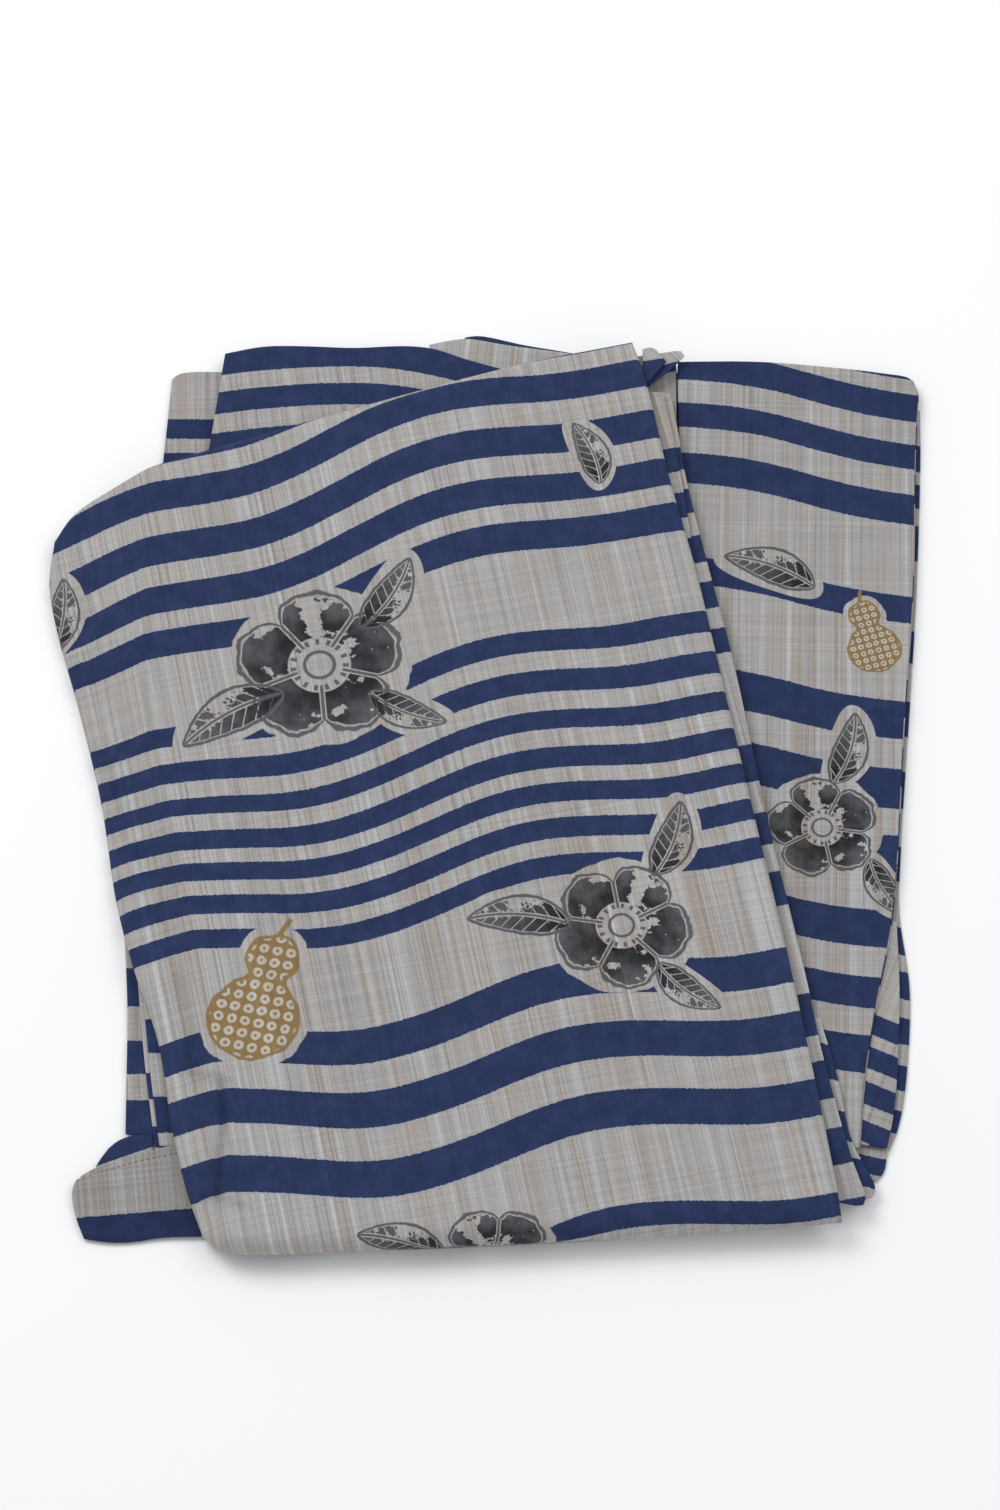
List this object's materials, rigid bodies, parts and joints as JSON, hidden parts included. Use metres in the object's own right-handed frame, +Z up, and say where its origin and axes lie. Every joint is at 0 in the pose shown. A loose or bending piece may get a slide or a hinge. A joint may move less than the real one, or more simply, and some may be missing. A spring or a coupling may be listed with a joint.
{
  "type": "folded yukata robe",
  "caption": "Unlined cotton robe with straight sleeves, folded into a flat oblong pack, with sleeve, collar and overlap panels showing at its edges.",
  "frame": {"origin": "under the middle of the folded pack, on the surface that it lies on", "axes": "+Z up; +Y towards the back edge, where the body is folded over; +X towards the side where the right sleeve stands out"},
  "size_m": [0.509, 0.5926, 0.0257],
  "materials": {
    "cotton": "matte woven"
  },
  "bodies": {
    "root": {"body_panel_right": "cotton", "overlap_panel_right": "cotton", "overlap_panel_left": "cotton", "collar": "cotton", "collar_end": "cotton", "over_collar": "cotton", "body_panel_left": "cotton", "sleeve_right": "cotton", "sleeve_right_back": "cotton", "sleeve_right_inner": "cotton", "sleeve_left": "cotton", "sleeve_left_back": "cotton", "body_panel_hem": "cotton", "body_panel_hem_back": "cotton", "body_panel_side_low": "cotton", "body_panel_side_high": "cotton", "sleeve_left_end": "cotton", "sleeve_left_end_back": "cotton", "folded_core": "cotton"}
  },
  "joints": []
}
